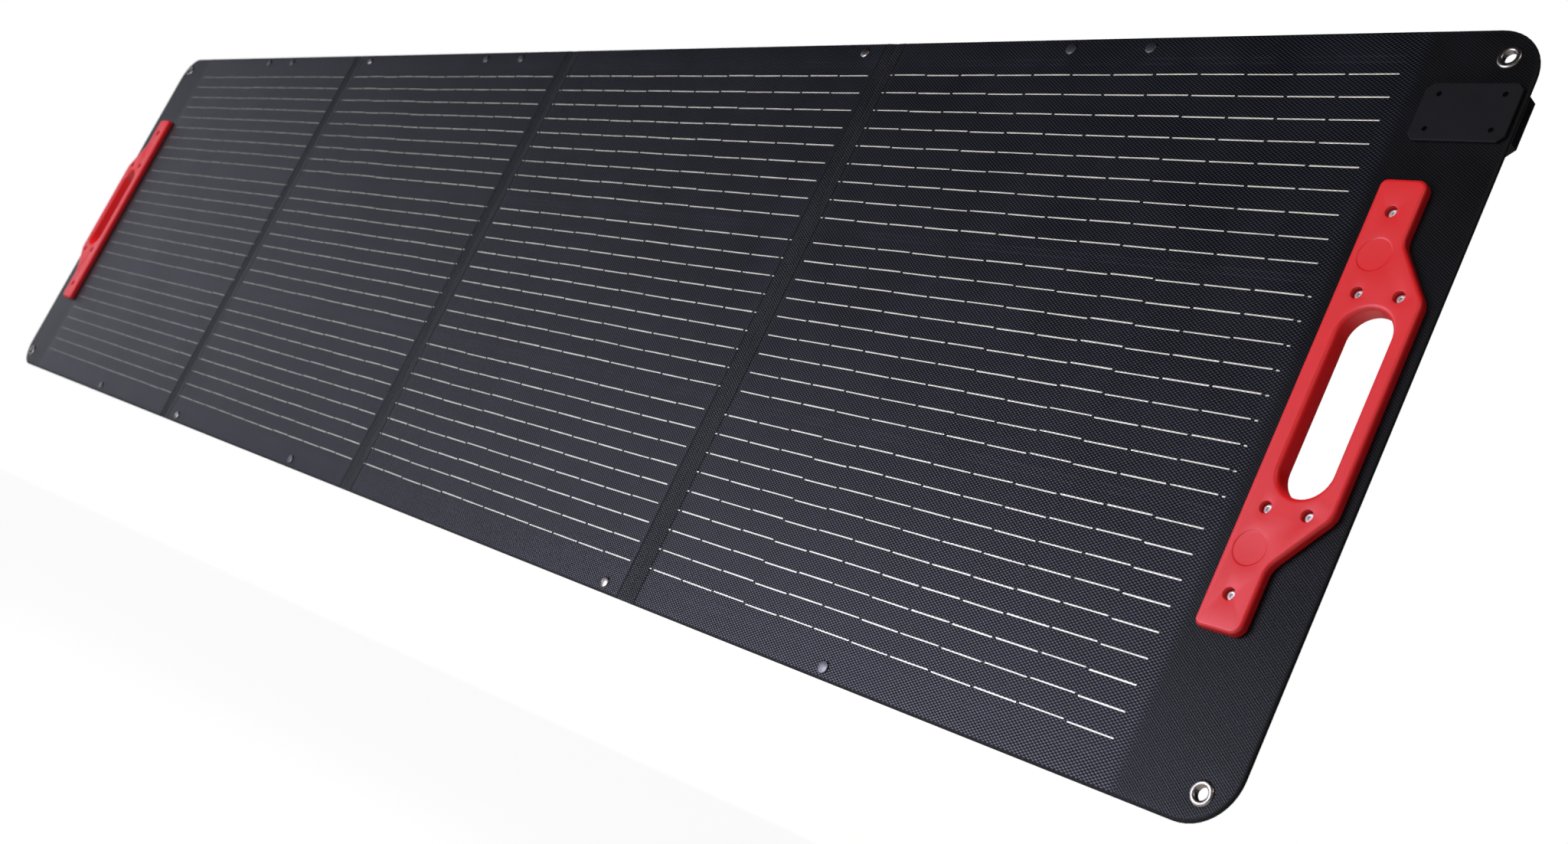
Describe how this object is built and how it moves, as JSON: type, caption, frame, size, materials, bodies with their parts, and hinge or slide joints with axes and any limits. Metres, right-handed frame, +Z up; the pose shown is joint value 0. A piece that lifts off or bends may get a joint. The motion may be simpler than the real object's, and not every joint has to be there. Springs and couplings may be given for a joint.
{
  "type": "folding solar sheet",
  "caption": "Foldable flexible solar sheet: laminated cell panels in a row with red end handles, corner eyelets, rear kickstands, closing snaps and a corner junction box.",
  "frame": {"origin": "centre of the open sheet at mid-thickness, which is the centre of the four corner eyelets", "axes": "+X along the sheet towards the junction box end, +Z up across its width, lit face towards -Y, back towards +Y"},
  "size_m": [2.26, 0.0239, 0.535],
  "materials": {
    "film": "satin, finely embossed",
    "encapsulant": "clear bond, seen dark over the board",
    "cells": "blue-black silicon",
    "ribbons": "tinned, bright",
    "board": "black laminate",
    "cover_fabric": "coated black weave",
    "facing_fabric": "black twill",
    "handle": "red moulded, fine satin grain",
    "screws": "zinc plated",
    "inserts": "turned",
    "magnets": "nickel plated",
    "eyelets": "nickel plated",
    "snaps": "nickel plated, domed",
    "kickstand_fasteners": "gunmetal",
    "kickstand_fabric": "black woven cover over a stiff board",
    "box_plastic": "black moulded, fine grain",
    "gasket": "foam",
    "circuit": "green laminate with black parts",
    "socket": "black moulded with a metal pin",
    "lid_rubber": "soft moulded"
  },
  "bodies": {
    "panel_1": {"panel_1_film": "film", "panel_1_encapsulant": "encapsulant", "panel_1_cells": "cells", "panel_1_ribbons": "ribbons", "panel_1_board": "board", "panel_1_rear_cover": "cover_fabric", "panel_1_end_facing": "facing_fabric", "left_handle_front": "handle", "left_handle_rear": "handle", "left_handle_screws": "screws", "left_handle_inserts": "inserts", "left_magnets": "magnets", "left_eyelets": "eyelets", "kickstand_1_anchor": "kickstand_fabric", "kickstand_1_fasteners": "kickstand_fasteners"},
    "panel_2": {"panel_2_film": "film", "panel_2_encapsulant": "encapsulant", "panel_2_cells": "cells", "panel_2_ribbons": "ribbons", "panel_2_board": "board", "panel_2_rear_cover": "cover_fabric", "closure_snap_studs": "snaps", "kickstand_2_anchor": "kickstand_fabric", "kickstand_2_fasteners": "kickstand_fasteners"},
    "panel_3": {"panel_3_film": "film", "panel_3_encapsulant": "encapsulant", "panel_3_cells": "cells", "panel_3_ribbons": "ribbons", "panel_3_board": "board", "panel_3_rear_cover": "cover_fabric", "closure_snap_sockets": "snaps"},
    "panel_4": {"panel_4_film": "film", "panel_4_encapsulant": "encapsulant", "panel_4_cells": "cells", "panel_4_ribbons": "ribbons", "panel_4_board": "board", "panel_4_rear_cover": "cover_fabric", "panel_4_end_facing": "facing_fabric", "right_handle_front": "handle", "right_handle_rear": "handle", "right_handle_screws": "screws", "right_handle_inserts": "inserts", "right_magnets": "magnets", "right_eyelets": "eyelets", "kickstand_4_anchor": "kickstand_fabric", "kickstand_4_fasteners": "kickstand_fasteners", "box_plate": "box_plastic", "box_screws": "screws", "box_gasket": "gasket", "box_housing": "box_plastic", "box_circuit": "circuit", "output_socket": "socket"},
    "kickstand_1": {"kickstand_1_leg": "kickstand_fabric", "kickstand_1_stow_socket": "kickstand_fasteners"},
    "kickstand_2": {"kickstand_2_leg": "kickstand_fabric", "kickstand_2_stow_socket": "kickstand_fasteners"},
    "kickstand_4": {"kickstand_4_leg": "kickstand_fabric", "kickstand_4_stow_socket": "kickstand_fasteners"},
    "socket_lid": {"socket_lid": "lid_rubber"}
  },
  "joints": [
    {"name": "centre_fold", "type": "hinge", "parent": "panel_2", "child": "panel_3", "pos_m": [0, 0.00365, 0], "axis": [0, 0, 1], "range_deg": [0, 180]},
    {"name": "left_fold", "type": "hinge", "parent": "panel_2", "child": "panel_1", "pos_m": [-0.52585, -0.00225, 0], "axis": [0, 0, 1], "range_deg": [0, 180]},
    {"name": "right_fold", "type": "hinge", "parent": "panel_3", "child": "panel_4", "pos_m": [0.52585, -0.00225, 0], "axis": [0, 0, -1], "range_deg": [0, 180]},
    {"name": "kickstand_1_hinge", "type": "hinge", "parent": "panel_1", "child": "kickstand_1", "pos_m": [-0.776, 0.00155, 0.246], "axis": [-1, 0, 0], "range_deg": [-60, 0]},
    {"name": "kickstand_2_hinge", "type": "hinge", "parent": "panel_2", "child": "kickstand_2", "pos_m": [-0.146, 0.00155, 0.246], "axis": [-1, 0, 0], "range_deg": [-60, 0]},
    {"name": "kickstand_4_hinge", "type": "hinge", "parent": "panel_4", "child": "kickstand_4", "pos_m": [0.775, 0.00155, 0.246], "axis": [-1, 0, 0], "range_deg": [-60, 0]},
    {"name": "socket_lid_hinge", "type": "hinge", "parent": "panel_4", "child": "socket_lid", "pos_m": [1.0559, 0.00845, 0.2155], "axis": [0, -1, 0], "range_deg": [-110, 0]}
  ],
  "couplings": [
    {"joint": "left_fold", "follows": "centre_fold", "ratio": 1},
    {"joint": "right_fold", "follows": "centre_fold", "ratio": 1}
  ]
}
